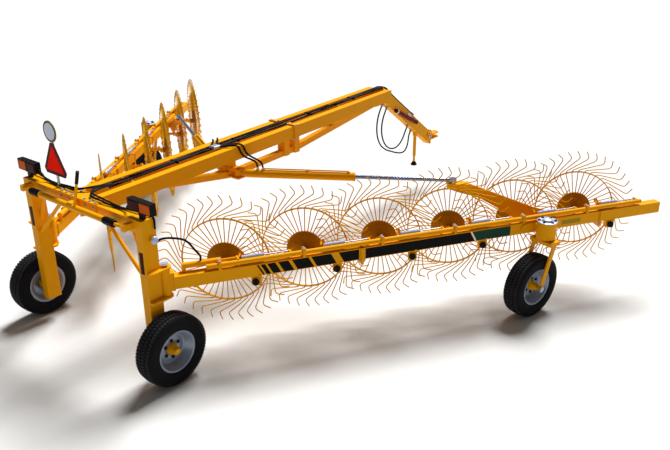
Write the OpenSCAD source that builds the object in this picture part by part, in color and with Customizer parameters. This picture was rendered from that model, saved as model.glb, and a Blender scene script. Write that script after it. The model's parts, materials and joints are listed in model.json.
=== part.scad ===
/* [Running gear] */
// Distance between the two rear wheel centres
track = 2180; // [2080:10:2400]
// Outer diameter of a road tyre
tyre_d = 720; // [680:5:760]
// Section width of a road tyre
tyre_w = 205; // [180:5:220]
// Diameter of the rim's edge flange
rim_d = 416; // [380:2:430]
// Diameter of the hub barrel in a road wheel
hub_d = 130; // [110:2:150]
// Diameter of a road wheel's axle
axle_d = 45; // [30:1:55]

/* [Rear arch] */
// Height of the top of the cross tube
arch_top = 1640; // [1560:5:1700]
// Height and depth of the middle sleeve
sleeve_h = 150; // [130:2:170]
// Length of the middle sleeve
sleeve_l = 600; // [500:10:680]
// Wall of the middle sleeve
sleeve_t = 10; // [6:1:14]
// Thickness of a leg, across the machine
leg_t = 100; // [90:2:110]
// Depth of a leg, along the machine
leg_d = 150; // [130:2:160]
// Gap between a leg and the tyre beside it
leg_gap = 30; // [20:1:60]
// Height of the bottom end of a leg
leg_foot = 250; // [200:5:300]
// Thickness of the two hinge plates on a leg
plate_t = 20; // [14:1:24]
// Diameter of the arm's hinge pin
hinge_pin_d = 40; // [30:1:50]
// Diameter of the hinge barrel at the end of an arm
hinge_boss_d = 96; // [80:2:110]
// Length of a lamp box
lamp_l = 322; // [300:2:400]
// Height of a lamp box
lamp_h = 112; // [90:2:130]
// Height of the lamp box above the arch
lamp_rise = 64; // [50:2:120]
// Diameter of the width screw's outer tube
screw_tube_d = 60; // [50:1:70]

/* [Tongue] */
// Distance between the centres of the tongue's two beams
tongue_gap = 300; // [260:5:340]
// Width of one tongue beam
tongue_w = 90; // [70:2:110]
// Height of one tongue beam
tongue_h = 150; // [120:2:170]
// Height of the beams' middle at the rear
tongue_rear_z = 1575; // [1540:5:1600]
// Height of the beams' middle at the front
tongue_front_z = 1755; // [1700:5:1800]
// Distance of the beams' front end from the rear axle
tongue_l = 4880; // [4800:10:5100]
// Side of the bowed lower tube
chord_w = 75; // [60:1:80]
// Height of the hitch pin's middle
hitch_z = 800; // [740:5:860]
// Distance of the hitch pin ahead of the tongue's front end
drawbar_run = 1610; // [1500:10:1700]
// Width of the drawbar
drawbar_w = 110; // [90:2:130]
// Depth of the drawbar, square to its slope
drawbar_h = 168; // [140:2:180]
// Width of the hitch clevis
hitch_eye_d = 120; // [90:2:140]
// Diameter of the hitch pin's hole
hitch_bore = 32; // [26:1:40]

/* [Arms] */
// Angle of an arm from straight ahead
arm_angle = 31.7; // [28:0.1:34]
// Extra angle of the left arm, which stands wider in the photo
left_open = 3; // [0:0.5:5]
// Width of an arm's box beam
beam_w = 100; // [90:2:110]
// Height of an arm's box beam
beam_h = 125; // [110:1:135]
// Height of the underside of an arm's box beam
beam_z = 905; // [890:5:930]
// Distance of the beam's middle from the line of the rake wheel hubs
beam_off = 370; // [360:2:390]
// Distance from the hinge pin to the first hub along the arm
hinge_back = 640; // [620:5:660]
// Length of the beam ahead of the first hub
beam_ahead = 5050; // [4950:10:5150]
// Diameter of the lift pipe on top of the beam
lift_d = 50; // [40:1:56]
// Stroke of the lift pipe
lift_stroke = 140; // [100:5:160]

/* [Rake wheels] */
// Number of rake wheels on each arm
wheel_n = 6; // [4:1:6]
// Distance between the hubs along the arm
wheel_pitch = 833; // [820:1:850]
// Turn of a rake wheel from the line of its arm
wheel_angle = 23.6; // [20:0.1:26]
// Radius to the tine tips
tip_r = 700; // [680:2:705]
// Radius of the tine ring
ring_r = 445; // [420:2:460]
// Number of tines on a wheel
tine_n = 40; // [30:1:40]
// Diameter of a tine's wire
tine_d = 8; // [7:0.5:10]
// Radius of the hub discs
disc_r = 190; // [160:2:210]
// Height of the hubs when raised
hub_z = 926; // [910:2:940]
// Length of a crank from its pivot to the hub
crank_l = 360; // [340:2:380]
// Height of the hub above the crank's pivot when raised
crank_rise = 76; // [60:2:90]
// Diameter of a crank's pivot shaft
shaft_d = 40; // [30:1:46]
// Diameter of a hub spindle
spindle_d = 36; // [28:1:40]

/* [Fold cylinders] */
// Height of the fold cylinders
fold_z = 1390; // [1380:2:1400]
// Distance of a barrel's pin from the middle of the tongue
fold_pin_x = 140; // [130:2:160]
// Distance of the barrel pins from the rear axle
fold_pin_y = 1880; // [1860:5:1900]
// Outer diameter of a fold cylinder's barrel
fold_barrel_d = 96; // [80:2:104]
// Diameter of a fold cylinder's rod
fold_rod_d = 45; // [36:1:50]
// Length of a barrel from its pin to its gland
fold_barrel_l = 1340; // [1250:10:1400]
// Diameter of the fold cylinder pins
fold_pin_d = 32; // [25:1:36]

/* [Casters] */
// Distance of a caster's pivot from the hub line
caster_off = 548; // [545:1:570]
// Distance of a caster's pivot ahead of the first hub
caster_at = 3400; // [3380:5:3420]
// Trail of a caster
caster_trail = 165; // [140:5:180]
// Heading of a caster from straight ahead
caster_heading = 14.5; // [0:0.5:30]
// Outer diameter of a caster's pivot head
caster_head_d = 210; // [180:2:220]
// Height of the top of a caster's pivot head
caster_top = 1065; // [1050:5:1080]

/* [Jack] */
// Distance of the jack ahead of the tongue's front end
jack_run = 1005; // [950:5:1050]
// Height of the jack's foot above the ground when stowed
jack_rest = 420; // [400:5:450]
// Diameter of the jack's outer tube
jack_d = 50; // [44:1:60]
// Height of the lower end of the jack's outer tube
jack_low = 574; // [560:2:600]

/* [Hidden] */
$fn = 48;
// Small gaps between pieces that fit together
fit = 0.3;
run = 6;
// Yellow, black, rubber and zinc finishes
yellow = "#f2b00c";
black = "#1b1b1d";
rubber = "#26262a";
zinc = "#b9bec6";
// Rear wheel and leg places
axle_x = track / 2;
axle_z = tyre_d / 2;
leg_out = axle_x - tyre_w / 2 - leg_gap;
leg_in = leg_out - leg_t;
leg_back = -90;
tube_h = sleeve_h - 2 * sleeve_t - 2 * fit;
sleeve_back = leg_back - sleeve_t;
// Hinge of an arm, measured in the arm's own frame
hinge_x = leg_out - 6;
hinge_y = leg_back + leg_d + hinge_boss_d / 2 + run;
hub1_x = hinge_x + hinge_back * sin(arm_angle) - beam_off * cos(arm_angle);
hub1_y = hinge_y + hinge_back * cos(arm_angle) + beam_off * sin(arm_angle);
hinge_low = 830;
hinge_high = 1125;
// Rake wheel, crank and lift places in a wheel's own frame
pivot_z = hub_z - crank_rise;
pivot_run = sqrt(crank_l * crank_l - crank_rise * crank_rise);
beam_top = beam_z + beam_h;
beam_in = beam_off - beam_w / 2;
beam_out = beam_off + beam_w / 2;
arm_x0 = 62;
arm_t = 24;
horn_x = 166;
horn_t = 14;
horn_z = 1085;
horn_back = 166;
horn_pin = 96;
block_x = (beam_off - pivot_run * sin(wheel_angle)) / cos(wheel_angle);
lift_x = beam_out - 30;
lift_z = beam_top + 40;
// Bolted joints of the beam
joint_at = [hinge_back + 665, beam_ahead - 835];
// Lift cylinder, springs and caster head in the arm's frame
ram_d = 60;
ram_rod_d = 25;
ram_x = lift_x - lift_d / 2 - 5 - ram_d / 2 - 2;
ram_y = -hinge_back + 160;
ram_z = lift_z + 20;
ram_l = 370;
ram_lug = 40;
spring_x = beam_in + 18;
spring_z = lift_z + 15;
spring_d = 36;
spring_turns = 15;
lift_back = 260;
lift_reach = (wheel_n - 1) * wheel_pitch + 610;
head_low = beam_z - 20;
caster_post_d = 80;
crown_z = head_low - 55;
// Fold cylinder eye in the arm's frame
eye_x = -190;
eye_y = 2630;
function eye_turn(s) = arm_angle + (s == "left" ? left_open : 0);
function eye_out(s) = let (a = eye_turn(s), o = eye_x - beam_off, l = eye_y + hinge_back)
    [hinge_x + l * sin(a) + o * cos(a) - fold_pin_x, hinge_y + l * cos(a) - o * sin(a) - fold_pin_y];
function fold_l(s) = norm(eye_out(s));
function fold_yaw(s) = atan2(eye_out(s).x, eye_out(s).y);
bracket_t = 16;
bracket_top = fold_z - 28;
// Drawbar and jack places
hitch_y = tongue_l + drawbar_run;
hitch_back = hitch_y - 240;
jack_x = 0;
jack_y = tongue_l + jack_run;
jack_wall = 6;
function drawbar_z(y) =
    tongue_front_z + (hitch_z - tongue_front_z) * (y - tongue_l) / (hitch_back - tongue_l);
tube_d = 60;
// A point below the drawbar's middle line, by its run along the line and its depth square to it
function below_drawbar(x, run, depth) =
    let (a = atan2(tongue_front_z - hitch_z, hitch_back - tongue_l))
        [x, tongue_l + run * cos(a) - depth * sin(a), tongue_front_z - run * sin(a) - depth * cos(a)];
// Free hoses: the place across and the runs of its two fittings for each,
// and the routes as points ahead of the tongue and up
front_d = 22;
fitting_d = 32;
fitting_l = 38.8;
front_fits = [[-22, [190, 1170]], [22, [260, 960]]];
front_routes = [
    [[85, 1545], [56, 1504], [20, 1440], [-8, 1365], [-22, 1280], [-20, 1190], [0, 1105], [40, 1020],
        [100, 945],
        [180, 885], [270, 835], [370, 795], [470, 755], [570, 722], [665, 702], [750, 710], [808, 760],
        [836, 825], [848, 885], [860, 943], [889, 984]],
    [[142, 1505], [114, 1464], [78, 1400], [50, 1325], [38, 1245], [42, 1165], [65, 1085],
        [105, 1010], [160, 945],
        [230, 895], [310, 862], [395, 850], [480, 862], [555, 900], [615, 955], [660, 1020], [688, 1063],
        [717, 1104]]];
hose_sides = 8;
// A route with one more point on the smooth curve between each two
function between(p) = [for (i = [0 : 2 * len(p) - 2]) let (k = floor(i / 2))
    i % 2 == 0 ? p[k] : (9 * (p[k] + p[k + 1]) - p[max(k - 1, 0)] - p[min(k + 2, len(p) - 1)]) / 16];
function hose_way(p, i) = let (v = p[min(i + 1, len(p) - 1)] - p[max(i - 1, 0)]) v / norm(v);
function hose_corners(x, p) = [for (i = [0 : len(p) - 1]) for (c = [0 : hose_sides - 1])
    let (v = hose_way(p, i), a = c * 360 / hose_sides, r = front_d / 2)
        [x + r * sin(a), tongue_l + p[i][0] - r * cos(a) * v[1], p[i][1] + r * cos(a) * v[0]]];
function hose_sides_of(n) = concat(
    [[for (c = [0 : hose_sides - 1]) c], [for (c = [hose_sides - 1 : -1 : 0]) (n - 1) * hose_sides + c]],
    [for (i = [0 : n - 2]) for (c = [0 : hose_sides - 1])
        let (d = (c + 1) % hose_sides, a = i * hose_sides, b = a + hose_sides)
            each [[a + d, a + c, b + d], [a + c, b + c, b + d]]]);
// Length of the machine, for the origin in the middle of its box
front_y = hitch_y + hitch_eye_d / 2;
back_y = -axle_z;
mid_y = (front_y + back_y) / 2;
// Reach of an arm's outer end, by its angle, for the origin's place across
function reach(a) = hinge_x + (beam_ahead + hinge_back) * sin(a) + beam_w / 2 * cos(a);
mid_x = (reach(arm_angle) - reach(arm_angle + left_open)) / 2;

// A round bar between two points
module rod(p, q, d) {
    v = q - p;
    l = norm(v);
    translate(p) rotate([0, acos(v.z / l), atan2(v.y, v.x)]) cylinder(d = d, h = l);
}
// A flat-sided bar between two points, w across and h upright
module bar(p, q, w, h) {
    v = q - p;
    l = norm(v);
    translate(p) rotate([0, acos(v.z / l), atan2(v.y, v.x)]) translate([-h / 2, -w / 2, 0]) cube([h, w, l]);
}
// A cylinder along X from x0 to x1
module xcyl(x0, x1, d) {
    translate([x0, 0, 0]) rotate([0, 90, 0]) cylinder(d = d, h = x1 - x0);
}
// Frames: the whole machine, one side, an arm, a rake wheel, a caster
module machine() { translate([-mid_x, -mid_y, 0]) children(); }
module side(s) { machine() mirror([s == "left" ? 1 : 0, 0, 0]) children(); }
// The left arm's extra turn about its hinge pin
module arm_side(s)
    side(s) translate([hinge_x, hinge_y, 0]) rotate([0, 0, s == "left" ? -left_open : 0])
        translate([-hinge_x, -hinge_y, 0]) children();
module arm() { translate([hub1_x, hub1_y, 0]) rotate([0, 0, -arm_angle]) children(); }
module station(k) { arm() translate([0, (k - 1) * wheel_pitch, 0]) rotate([0, 0, -wheel_angle]) children(); }
module caster() {
    arm() translate([caster_off, caster_at, 0]) rotate([0, 0, arm_angle - caster_heading]) children();
}

// Bolted flange and ends of the bowed tube on the tongue
flange_y = fold_pin_y + 930;
chord_back = 870;
chord_front = 70;
// Width screw and hoses
screw_y = sleeve_back - 70;
screw_z = arch_top - 60;
screw_d = 32;
hose_d = 26;
hose_back = 220;
function hose_z(y) = tongue_z(y) + tongue_h / 2 - 8 + hose_d / 2 + fit;
function tongue_z(y) = tongue_rear_z + (tongue_front_z - tongue_rear_z) * y / tongue_l;

// Twin beams with end plates, cross plates, a bolted flange and the bowed tube below on its hangers
module tongue() color(yellow) {
    rear_y = sleeve_back + sleeve_h;
    plate_w = tongue_gap + tongue_w - 8;
    bow_l = tongue_l - chord_back - chord_front;
    chord = [
        [chord_back, tongue_z(chord_back) - tongue_h / 2 - 33],
        [fold_pin_y + 20, fold_z - 45],
        [chord_back + 0.54 * bow_l, fold_z + 5],
        [tongue_l - chord_front, tongue_z(tongue_l) - tongue_h / 2 - 28]];
    hangers = [
        [chord_back - 50, tongue_z(chord_back) - tongue_h / 2 - 60],
        [fold_pin_y, fold_z - 40],
        [flange_y, fold_z - 40],
        [flange_y + 190, fold_z - 40],
        [tongue_l - chord_front - 60, tongue_z(tongue_l) - tongue_h / 2 - 78]];
    union() {
        for (x = [-1, 1] * tongue_gap / 2) {
            bar([x, rear_y + 10, tongue_z(rear_y)],
                [x, tongue_l - 10, tongue_z(tongue_l)], tongue_w, tongue_h);
            bar([x, flange_y - 20, tongue_z(flange_y - 20)], [x, flange_y + 20, tongue_z(flange_y + 20)],
                tongue_w + 40, tongue_h + 40);
        }
        for (e = [[rear_y, tongue_rear_z], [tongue_l - 16, tongue_front_z]])
            translate([-plate_w / 2, e[0], e[1] - tongue_h / 2 + 5]) cube([plate_w, 16, tongue_h - 10]);
        for (y = [rear_y + 450, fold_pin_y - 30, flange_y, (flange_y + tongue_l) / 2])
            translate([-tongue_gap / 2, y - 10, tongue_z(y) - tongue_h / 2 + 8])
                cube([tongue_gap, 20, tongue_h - 16]);
        translate([-chord_w / 2, 0, 0]) rotate([90, 0, 90]) linear_extrude(chord_w)
            polygon(concat([for (p = chord) p + [0, chord_w / 2]],
                [for (i = [len(chord) - 1 : -1 : 0]) chord[i] - [0, chord_w / 2]]));
        for (h = hangers) {
            translate([-60, h[0] - 45, h[1]]) cube([120, 90, tongue_z(h[0]) - h[1]]);
            translate([-tongue_gap / 2, h[0] - 55, tongue_z(h[0]) - tongue_h / 2 - 8])
                cube([tongue_gap, 110, 30]);
        }
        fold_lugs();
    }
}
// Two pairs of flat lugs for the fold cylinders' barrel pins
module fold_lugs() {
    for (z = [-1, 1] * 48)
        difference() {
            translate([-fold_pin_x - 55, fold_pin_y - 60, fold_z + z - 9])
                cube([2 * fold_pin_x + 110, 120, 18]);
            for (x = [-1, 1] * fold_pin_x)
                translate([x, fold_pin_y, fold_z + z - 30]) cylinder(d = fold_pin_d + 2 * fit, h = 60);
        }
}
// Square sleeve that the legs' tubes are clamped in
module cross_sleeve() color(yellow)
    difference() {
        translate([-sleeve_l / 2, sleeve_back, arch_top - sleeve_h + sleeve_t])
            cube([sleeve_l, sleeve_h, sleeve_h]);
        translate([-sleeve_l / 2 - 1, sleeve_back + sleeve_t, arch_top - sleeve_h + 2 * sleeve_t])
            cube([sleeve_l + 2, sleeve_h - 2 * sleeve_t, sleeve_h - 2 * sleeve_t]);
    }
// Sloping front beam with its head plate and the jack's tube
module drawbar() color(yellow)
    difference() {
        union() {
            bar([0, tongue_l - 60, drawbar_z(tongue_l - 60)], [0, hitch_back + 90, drawbar_z(hitch_back + 90)],
                drawbar_w, drawbar_h);
            translate([-tongue_gap / 2 - 35, tongue_l, tongue_front_z - tongue_h / 2 + 8])
                cube([tongue_gap + 70, 24, tongue_h - 16]);
            translate([jack_x, jack_y, jack_low]) cylinder(d = jack_d, h = drawbar_z(jack_y) - jack_low);
            translate([jack_x, jack_y, drawbar_z(jack_y) - drawbar_h / 2 - 60])
                cylinder(d = jack_d + 26, h = 70);
            for (f = front_fits) for (run = f[1])
                rod(below_drawbar(f[0], run, 50),
                    below_drawbar(f[0], run, drawbar_h / 2 + fitting_l), fitting_d);
        }
        translate([-500, tongue_l - 500, hitch_z]) cube([1000, 500, 2000]);
        translate([-500, hitch_back, 0]) cube([1000, 500, 2000]);
        translate([jack_x, jack_y, jack_low - 20])
            cylinder(d = jack_d - 2 * jack_wall, h = drawbar_z(jack_y) + 70 - jack_low + 20);
    }
// Clevis with its upright pin hole, a hole plate behind it and a round plate on each side of the drawbar
module hitch() color(yellow)
    difference() {
        union() {
            translate([-hitch_eye_d / 2, hitch_back, hitch_z - drawbar_h / 2 - 20])
                cube([hitch_eye_d, 30, drawbar_h + 60]);
            for (z = [-45, 25]) {
                translate([-hitch_eye_d / 2 + 4, hitch_back + 5, hitch_z + z])
                    cube([hitch_eye_d - 8, hitch_y - hitch_back - 5, 20]);
                translate([0, hitch_y, hitch_z + z]) cylinder(d = hitch_eye_d, h = 20);
            }
            for (s = [0, 1]) mirror([s, 0, 0])
                translate([drawbar_w / 2 + fit, hitch_back - 20, hitch_z + 40])
                    rotate([0, 90, 0]) cylinder(d = 140, h = 14);
        }
        translate([0, hitch_y, hitch_z - 100]) cylinder(d = hitch_bore, h = 200);
        for (x = [-1, 1] * hitch_eye_d / 3, z = [-80, 80])
            translate([x, hitch_back - 10, hitch_z + z]) rotate([-90, 0, 0]) cylinder(d = 18, h = 60);
    }
// Inner tube of the jack with its round foot
module jack_leg() color(black)
    union() {
        translate([jack_x, jack_y, jack_rest]) cylinder(d = 2 * jack_d, h = 14);
        translate([jack_x, jack_y, jack_rest + 10])
            cylinder(d = jack_d - 2 * jack_wall - 1, h = drawbar_z(jack_y) + 50 - jack_rest);
    }
module manual_tube() color("#7a2026") {
    x = drawbar_w / 2 + tube_d / 2 + fit;
    back = tongue_l + 306;
    front = tongue_l + 884;
    rod([x, back, drawbar_z(back) - 84], [x, front, drawbar_z(front) + 24], tube_d);
}
// Slow vehicle triangle and round plate on one post
module sign_board() color("#c2331f") {
    top = arch_top + sleeve_t;
    translate([-405, -20, top]) {
        cylinder(d = 28, h = 520);
        translate([0, -8, 240]) rotate([90, 0, 0]) rotate([0, 0, 90]) cylinder(r = 250, h = 8, $fn = 3);
        translate([0, -8, 555]) rotate([90, 0, 0]) cylinder(d = 215, h = 8);
    }
}
// Screw that sets the width of the arch, with its ratchet lever
module width_screw() color(yellow)
    translate([0, screw_y, screw_z]) difference() {
        union() {
            xcyl(-520, 520, screw_tube_d);
            rod([65, 0, 0], [205, 0, 385], 26);
            translate([-40, -10, -40]) cube([80, sleeve_back - screw_y + 10, 80]);
        }
        for (x = [-530, 470]) xcyl(x, x + 60, screw_d + 2 * fit);
    }
module tongue_hoses() color(black)
    for (x = [-40, 0, 40])
        rod([x, hose_back, hose_z(hose_back)],
            [x, tongue_l - hose_back, hose_z(tongue_l - hose_back)], hose_d);

// A free hose under the drawbar, swept along its route
module front_hose(i) color(black)
    let (x = front_fits[i - 1][0], way = between(front_routes[i - 1]))
        polyhedron(hose_corners(x, way), hose_sides_of(len(way)));

// Leg of the arch with its tube, hinge plates, axle and brace
module leg() color(yellow)
    union() {
        translate([leg_in, leg_back, leg_foot]) cube([leg_t, leg_d, arch_top - leg_foot]);
        translate([140, leg_back + fit, arch_top - sleeve_h + 2 * sleeve_t + fit])
            cube([leg_in - 130, tube_h, tube_h]);
        for (z = [hinge_low, hinge_high]) {
            translate([leg_in, leg_back, z - plate_t / 2])
                cube([hinge_x + 60 - leg_in, hinge_y - leg_back, plate_t]);
            translate([hinge_x, hinge_y, z - plate_t / 2]) cylinder(d = 120, h = plate_t);
        }
        translate([hinge_x, hinge_y, hinge_low - plate_t])
            cylinder(d = hinge_pin_d, h = hinge_high - hinge_low + 2 * plate_t + 10);
        translate([0, 0, axle_z]) xcyl(leg_in + 10, axle_x + 90, axle_d);
        rod([leg_in - 150, -15, arch_top - sleeve_h + 40], [leg_in + 20, -15, 1160], 40);
        translate([leg_in - 60, screw_y - 25, screw_z - 30]) cube([50, 140, 60]);
        translate([0, screw_y, screw_z]) xcyl(480, leg_in - 30, screw_d);
        translate([0, 14, arch_top - 200]) xcyl(leg_out - 10, leg_out + 22, 56);
    }
module lamp() color(black)
    union() {
        translate([leg_in + leg_t / 2 - 30, leg_back + 45, arch_top]) cube([60, 30, lamp_rise + 20]);
        translate([leg_in + leg_t / 2 - lamp_l / 2, leg_back + 30, arch_top + lamp_rise])
            cube([lamp_l, 64, lamp_h]);
    }

// Road tyre and rim about the X axis
module tyre_form() color(rubber) {
    r = tyre_d / 2;
    bead = rim_d / 2 - 14;
    half = [[bead, tyre_w / 2 - 26], [bead + 30, tyre_w / 2 - 8], [(r + bead) / 2, tyre_w / 2],
        [r - 42, tyre_w / 2 - 4], [r - 20, tyre_w / 2 - 15], [r - 7, tyre_w / 2 - 32], [r, tyre_w / 2 - 62]];
    rotate([0, 90, 0]) rotate_extrude()
        polygon(concat(half, [for (i = [len(half) - 1 : -1 : 0]) [half[i][0], -half[i][1]]]));
}
module rim_form(face) color(zinc)
    rotate([0, 90, 0]) difference() {
        union() {
            rotate_extrude() translate([rim_d / 2 - 24, -tyre_w / 2 + 24]) square([9.7, tyre_w - 48]);
            translate([0, 0, face - 4]) cylinder(d = rim_d - 40, h = 8);
            translate([0, 0, face - 60]) cylinder(d = hub_d, h = 110);
        }
        translate([0, 0, -200]) cylinder(d = axle_d + 2 * fit, h = 400);
    }
module road_place() { translate([axle_x, 0, axle_z]) children(); }
module tyre() road_place() tyre_form();
module rim() road_place() rim_form(20);

// Arm beam with hinge barrel, crank blocks, pipe guides, caster head and fold bracket
module beam() color(yellow) arm()
    difference() {
        union() {
            translate([beam_in, -hinge_back + 70, beam_z])
                cube([beam_w, beam_ahead + hinge_back - 70, beam_h]);
            translate([beam_in + 10, -hinge_back, beam_z - 20]) cube([beam_w - 20, 80, beam_h + 60]);
            translate([beam_off, -hinge_back, hinge_low + plate_t / 2 + fit])
                cylinder(d = hinge_boss_d, h = hinge_high - hinge_low - plate_t - 2 * fit);
            for (k = [0 : wheel_n - 1]) {
                translate([0, k * wheel_pitch, 0]) rotate([0, 0, -wheel_angle])
                    translate([block_x - 45, pivot_run - 45, pivot_z - 45])
                        cube([90, 90, beam_z - pivot_z + 60]);
                translate([lift_x - 30, k * wheel_pitch - 150, beam_top - 5])
                    cube([60, 30, lift_z - beam_top + 45]);
            }
            translate([beam_out - 10, caster_at - 70, beam_z + 15])
                cube([caster_off - beam_out, 140, beam_h - 30]);
            translate([caster_off, caster_at, head_low])
                cylinder(d = caster_head_d, h = caster_top - head_low);
            for (s = joint_at)
                translate([beam_in - 8, s - 22, beam_z - 30]) cube([beam_w + 16, 44, beam_h + 34]);
            translate([beam_out - 6, caster_at - 190, beam_z + 10]) cube([20, 190, beam_h - 20]);
            translate([0, caster_at - 190, beam_z + beam_h / 2])
                xcyl(beam_out - 6, beam_out + 15, beam_h - 24);
        }
        translate([beam_off, -hinge_back, hinge_low - 60])
            cylinder(d = hinge_pin_d + 2 * fit, h = hinge_high - hinge_low + 120);
        translate([caster_off, caster_at, head_low - 60]) cylinder(d = caster_post_d + 2 * fit, h = 400);
        for (k = [0 : wheel_n - 1]) {
            translate([0, k * wheel_pitch, 0]) rotate([0, 0, -wheel_angle])
                translate([block_x, pivot_run, pivot_z]) xcyl(-90, 90, shaft_d + 2 * fit);
            translate([lift_x, k * wheel_pitch - 200, lift_z])
                rotate([-90, 0, 0]) cylinder(d = lift_d + 2 * fit, h = 120);
        }
    }
// Plate that rises between two rake wheels from the beam's inner side and ends under the fold cylinder's eye
module fold_bracket() color(yellow) arm() {
    run_l = (beam_off - eye_x) / sin(wheel_angle);
    difference() {
        union() {
            translate([eye_x, eye_y, 0]) rotate([0, 0, 90 - wheel_angle]) rotate([90, 0, 0])
                translate([0, 0, -bracket_t / 2]) linear_extrude(bracket_t)
                    polygon([[-60, bracket_top - 6], [180, bracket_top - 6], [run_l - 480, beam_top + 60],
                        [run_l - 220, beam_top - 5], [run_l - 30, beam_z + 10], [run_l - 420, beam_z + 10],
                        [run_l - 700, beam_z + 70], [300, bracket_top - 170], [60, bracket_top - 110],
                        [-60, bracket_top - 70]]);
            translate([eye_x, eye_y, bracket_top - 14]) rotate([0, 0, 90 - wheel_angle])
                translate([-70, -55, 0]) cube([250, 110, 14]);
        }
        translate([beam_in - fit, eye_y, 0]) cube([1000, 3000, 3000]);
    }
}
// Lift cylinder on its foot beside the pipe
module lift_cylinder() color(yellow) arm()
    difference() {
        union() {
            translate([ram_x, ram_y, ram_z]) rotate([-90, 0, 0]) cylinder(d = ram_d, h = ram_l);
            translate([ram_x - 20, ram_y, beam_top]) cube([40, 30, ram_z - beam_top]);
        }
        translate([ram_x, ram_y + 60, ram_z]) rotate([-90, 0, 0]) cylinder(d = ram_rod_d + 2 * fit, h = ram_l);
    }
// Lift pipe with the cylinder's rod, and a lug and a coil spring for each crank
module lift_pipe() color(yellow) arm() {
    translate([lift_x, -lift_back, lift_z])
        rotate([-90, 0, 0]) cylinder(d = lift_d, h = lift_back + lift_reach);
    translate([ram_x, ram_y + 60 + lift_stroke + 40, ram_z])
        rotate([-90, 0, 0]) cylinder(d = ram_rod_d, h = ram_lug + 10 - (ram_y + 60 + lift_stroke + 40));
    translate([ram_x - 16, ram_lug, lift_z - 12]) cube([lift_x - ram_x + 16, 16, ram_z - lift_z + 28]);
    for (k = [0 : wheel_n - 1]) translate([0, k * wheel_pitch, 0]) {
        translate([spring_x - 10, 560, lift_z - 12]) cube([lift_x - spring_x + 10, 16, 40]);
        translate([spring_x, 90, spring_z]) rotate([-90, 0, 0]) {
            cylinder(d = 14, h = 480);
            spring_form(225);
        }
    }
}
// Close coils as a ribbed sleeve
module spring_form(l)
    rotate_extrude() polygon(concat([[0, 0]],
        [for (i = [0 : 2 * spring_turns]) [spring_d / 2 - (i % 2 == 0 ? 5 : 0),
            i * l / (2 * spring_turns)]], [[0, l]]));
// Crank in a wheel's frame: pivot shaft, trailing arm, spindle and horn
module crank(k) color(yellow) station(k) {
    union() {
        translate([0, pivot_run, pivot_z]) {
            xcyl(arm_x0 - 12, block_x + 60, shaft_d);
            xcyl(arm_x0 - 5, arm_x0 + arm_t + 5, 76);
            xcyl(horn_x - 14, horn_x + 14, 64);
        }
        bar_x = arm_x0 + arm_t / 2;
        bar([bar_x, pivot_run, pivot_z], [bar_x, 0, hub_z], arm_t, 60);
        translate([0, 0, hub_z]) {
            xcyl(-34, arm_x0 + arm_t + 10, spindle_d);
            xcyl(arm_x0 - 4, arm_x0 + arm_t + 4, 70);
        }
        bar([horn_x, pivot_run, pivot_z], [horn_x, pivot_run - horn_back, horn_z + 14], horn_t, 40);
        translate([0, pivot_run - horn_back, horn_z]) xcyl(horn_x - 10, horn_x + horn_pin, 16);
    }
}
// Tined wheel: hub with two discs, ring beside the tines, and hooked spring tines
tine_path = [[disc_r * 0.5, 0], [ring_r, 0], [ring_r + 160, 150], [tip_r - 62, 155],
    [tip_r * 0.99, tip_r * 0.14]];
tine_last = len(tine_path) - 1;
function tine_along(i) = tine_path[min(i + 1, tine_last)] - tine_path[max(i - 1, 0)];
function tine_corner(i, c) =
    let (v = tine_along(i) / norm(tine_along(i)), r = tine_d / 2, a = 90 + c * 120)
    [r * sin(a), tine_path[i][1] + r * cos(a) * v[0], tine_path[i][0] - r * cos(a) * v[1]];
tine_points = [for (i = [0 : tine_last]) for (c = [0 : 2]) tine_corner(i, c)];
tine_faces = concat(
    [[2, 1, 0], [3 * tine_last, 3 * tine_last + 1, 3 * tine_last + 2]],
    [for (i = [0 : tine_last - 1]) for (c = [0 : 2])
        let (d = (c + 1) % 3) each [[3 * i + c, 3 * i + d, 3 * i + 3 + d],
            [3 * i + c, 3 * i + 3 + d, 3 * i + 3 + c]]]);
module rake_wheel(k) color(yellow) station(k) translate([0, 0, hub_z]) {
    seat = tine_d / 2 + fit;
    difference() {
        union() {
            xcyl(-40, 52, 76);
            for (x = [-seat - 6, seat]) xcyl(x, x + 6, 2 * disc_r);
        }
        xcyl(-36, 60, spindle_d + 2 * fit);
    }
    rotate([0, 90, 0]) rotate_extrude() translate([ring_r, seat + 5]) circle(d = 10);
    for (i = [0 : tine_n - 1]) rotate([i * 360 / tine_n, 0, 0]) polyhedron(tine_points, tine_faces);
}
// Caster fork under its pivot head
module caster_fork() color(yellow) caster() {
    union() {
        translate([0, 0, crown_z + 5]) cylinder(d = caster_post_d, h = caster_top - crown_z + 15);
        translate([0, 0, caster_top + fit]) cylinder(d = caster_head_d + 10, h = 10);
        translate([-tyre_w / 2 - 40, -80, crown_z]) cube([tyre_w + 80, 150, 40]);
        for (x = [-1, 1] * (tyre_w / 2 + 26))
            bar([x, 0, crown_z + 20], [x, -caster_trail, axle_z - 25], 16, 60);
        translate([0, -caster_trail, axle_z]) xcyl(-tyre_w / 2 - 46, tyre_w / 2 + 46, axle_d);
    }
}
module caster_tyre() caster() translate([0, -caster_trail, axle_z]) tyre_form();
module caster_rim() caster() translate([0, -caster_trail, axle_z]) rim_form(0);
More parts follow.
